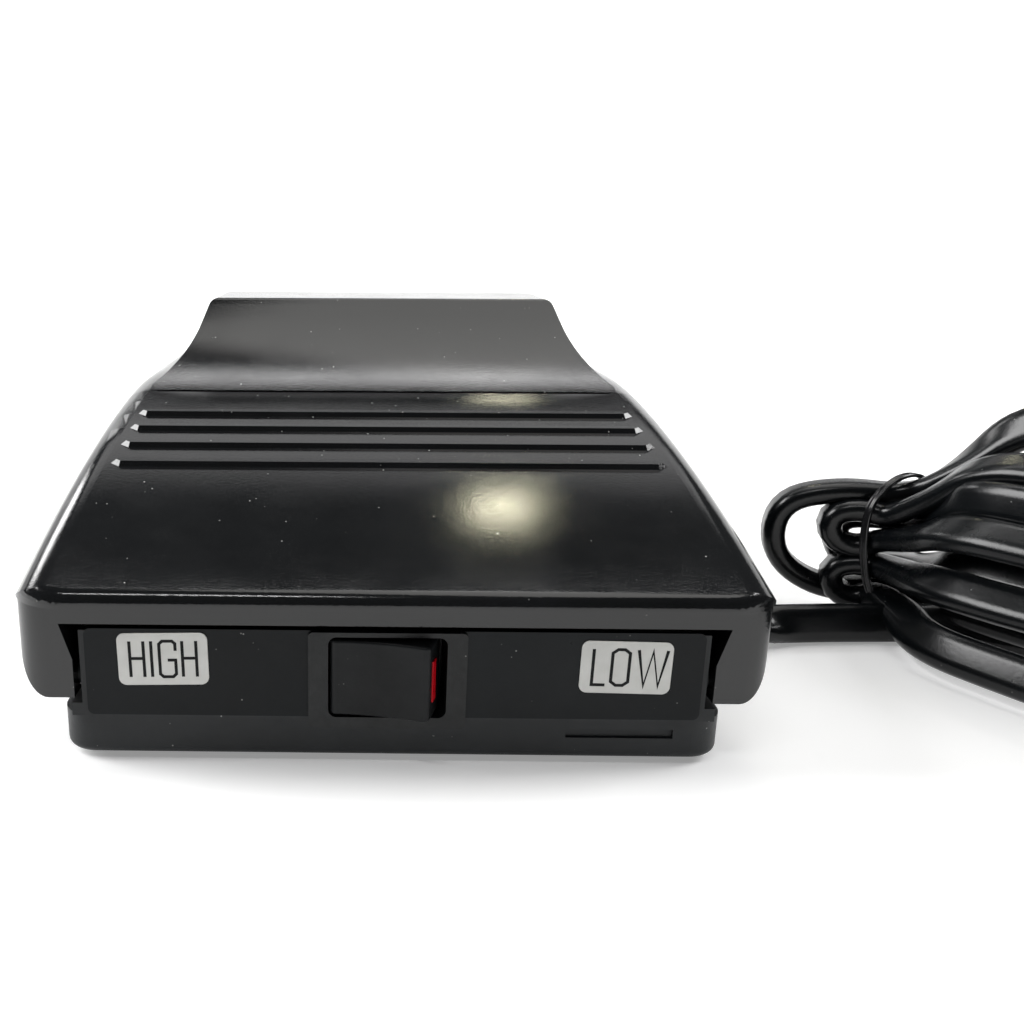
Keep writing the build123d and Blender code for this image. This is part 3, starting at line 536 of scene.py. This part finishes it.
BRASS_MAT = finish_surface("tinned_brass", (0.68, 0.6, 0.42), rough=(0.2, 0.38), grain=(3000, 0.3, 0.00003),
                           broad=500, metal=1.0)
PIN_MAT = finish_surface("nickel_pin", (0.66, 0.63, 0.55), rough=(0.12, 0.28), grain=(3000, 0.25, 0.00002),
                         broad=400, metal=1.0)
ALU_MAT = finish_surface("aluminium", (0.7, 0.7, 0.71), rough=(0.3, 0.45), grain=(900, 0.4, 0.00004),
                         broad=300, metal=1.0, stretch=(1, 1, 0.05))
ACETAL_MAT = finish_surface("acetal_white", (0.72, 0.7, 0.63), dark=0.95, light=1.03, rough=(0.3, 0.4),
                            grain=(2000, 0.2, 0.00003), broad=200)
POT_MAT = finish_surface("pot_blue", (0.03, 0.05, 0.13), rough=(0.35, 0.5), grain=(2000, 0.3, 0.00003), broad=200)
BOARD_MAT = finish_surface("phenolic_board", (0.33, 0.2, 0.075), dark=0.85, light=1.15, rough=(0.45, 0.6),
                           grain=(1600, 0.4, 0.00004), broad=500, stretch=(0.25, 1, 1))
EPOXY_MAT = finish_surface("epoxy_black", (0.016, 0.016, 0.017), rough=(0.5, 0.6), grain=(2600, 0.5, 0.00004),
                           broad=300)
COPPER_MAT = finish_surface("enamelled_copper", (0.52, 0.2, 0.07), rough=(0.15, 0.3), grain=(2500, 0.4, 0.00005),
                            broad=400, metal=0.85, coat=0.5)
FILM_MAT = finish_surface("film_lacquer", (0.58, 0.42, 0.09), rough=(0.15, 0.3), grain=(900, 0.3, 0.00006),
                          broad=250, coat=0.3)
RESISTOR_MAT = finish_surface("resistor_lacquer", (0.6, 0.45, 0.3), dark=0.9, rough=(0.3, 0.45),
                              grain=(1500, 0.3, 0.00004), broad=300)
WHITE_MAT = finish_surface("white_block", (0.76, 0.76, 0.73), dark=0.95, light=1.03, rough=(0.35, 0.45),
                           grain=(2000, 0.2, 0.00003), broad=200)
WIRE_MAT = finish_surface("wire_red", (0.45, 0.06, 0.04), rough=(0.35, 0.5), grain=(1600, 0.3, 0.00004), broad=200)

SLOT_LOOKS = {"cover": COVER_MAT, "case": CASE_MAT, "panel": PANEL_MAT, "label": LABEL_MAT, "switch": SWITCH_MAT,
              "rocker": ROCKER_MAT, "red_mark": RED_MAT, "terminal": BRASS_MAT, "spring": STEEL_MAT,
              "slider": ACETAL_MAT, "pot": POT_MAT, "board": BOARD_MAT, "screw": SCREW_MAT,
              "heat_sink": ALU_MAT, "triac": EPOXY_MAT, "choke": COPPER_MAT, "capacitor": FILM_MAT,
              "resistor": RESISTOR_MAT, "terminal_block": WHITE_MAT, "wire": WIRE_MAT, "clamp": EPOXY_MAT,
              "cord": CORD_MAT, "relief": RUBBER_MAT, "foot": RUBBER_MAT, "tie": TIE_MAT, "plug": PLUG_MAT,
              "pin": PIN_MAT}


def dress_nodes():
    for sub in frame["record"]["subparts"]:
        ob = NODES.get(sub.get("node"))
        if ob is None:
            continue
        for slot in ob.material_slots:
            slot.material = SLOT_LOOKS[sub["material_slot"]]


def give(ob, mat):
    ob.data.materials.clear()
    ob.data.materials.append(mat)


dress_nodes()
give(cord, CORD_MAT)
give(twist_tie, TIE_MAT)
for word in make_words():
    give(word, INK_MAT)


# ---------------------------------------------------------------- stage
def make_stage():
    """Pale floor that curves up into a low backdrop."""
    profile = [(-2.5, 0.0), (2.2, 0.0)]
    profile += [(2.2 + 0.5 * math.sin(math.radians(t)), 0.5 - 0.5 * math.cos(math.radians(t)))
                for t in range(5, 91, 5)]
    profile.append((2.7, 0.85))
    verts = [(x, y, z) for y, z in profile for x in (-3.2, 3.2)]
    faces = [(2 * i, 2 * i + 1, 2 * i + 3, 2 * i + 2) for i in range(len(profile) - 1)]
    floor = make_mesh("floor", verts, faces)
    pale = finish_surface("floor_white", (0.9, 0.9, 0.9), dark=0.99, light=1.005, rough=(0.65, 0.8),
                          grain=(900, 0.1, 0.00005), broad=4)
    lift = next(n for n in pale.node_tree.nodes if n.type == "BSDF_PRINCIPLED")
    lift.inputs["Emission Color"].default_value = (1, 1, 1, 1)
    lift.inputs["Emission Strength"].default_value = 0.27
    give(floor, pale)


def area_light(name, place, aim, size, power, colour=(1, 1, 1)):
    data = bpy.data.lights.new(name, "AREA")
    data.shape = "RECTANGLE"
    data.size, data.size_y = size
    data.energy = power
    data.color = colour
    ob = bpy.data.objects.new(name, data)
    bpy.context.collection.objects.link(ob)
    ob.location = place
    ob.rotation_mode = "QUATERNION"
    ob.rotation_quaternion = (Vector(place) - Vector(aim)).to_track_quat("Z", "Y")


def make_lights():
    area_light("light_left", (-1.5, 0.2, 0.9), (0, 0.1, 0), (0.8, 1.2), 41)
    area_light("light_right", (1.6, 0.2, 1.3), (0, 0.1, 0), (0.6, 1.0), 22)
    area_light("light_top", (0.3, 0.25, 1.7), (0.1, 0.1, 0), (1.3, 0.9), 7.5, (1, 0.99, 0.96))
    area_light("light_strip", (-0.25, -0.6, 1.25), (0, -0.05, 0.03), (0.5, 0.05), 2.6)
    area_light("light_back_left", (-1.35, 1.75, 0.95), (-0.04, 0, 0.03), (0.45, 0.4), 5)
    area_light("light_back_fill", (0.1, 2.2, 1.45), (0, -0.02, 0.04), (2.6, 0.55), 3.2)
    area_light("light_backdrop", (0.5, 1.1, 1.9), (0.5, 2.6, 0.1), (3.8, 0.4), 34)
    area_light("light_spot", (0.225, 1.0, 1.0), (0.01, -0.05, 0.035), (0.085, 0.035), 0.42, (1, 0.95, 0.7))
    world = bpy.data.worlds.new("world")
    world.use_nodes = True
    world.node_tree.nodes["Background"].inputs["Color"].default_value = (0.9, 0.92, 0.95, 1)
    world.node_tree.nodes["Background"].inputs["Strength"].default_value = 0.06
    bpy.context.scene.world = world


make_stage()
make_lights()
bpy.context.scene.view_settings.view_transform = "Standard"
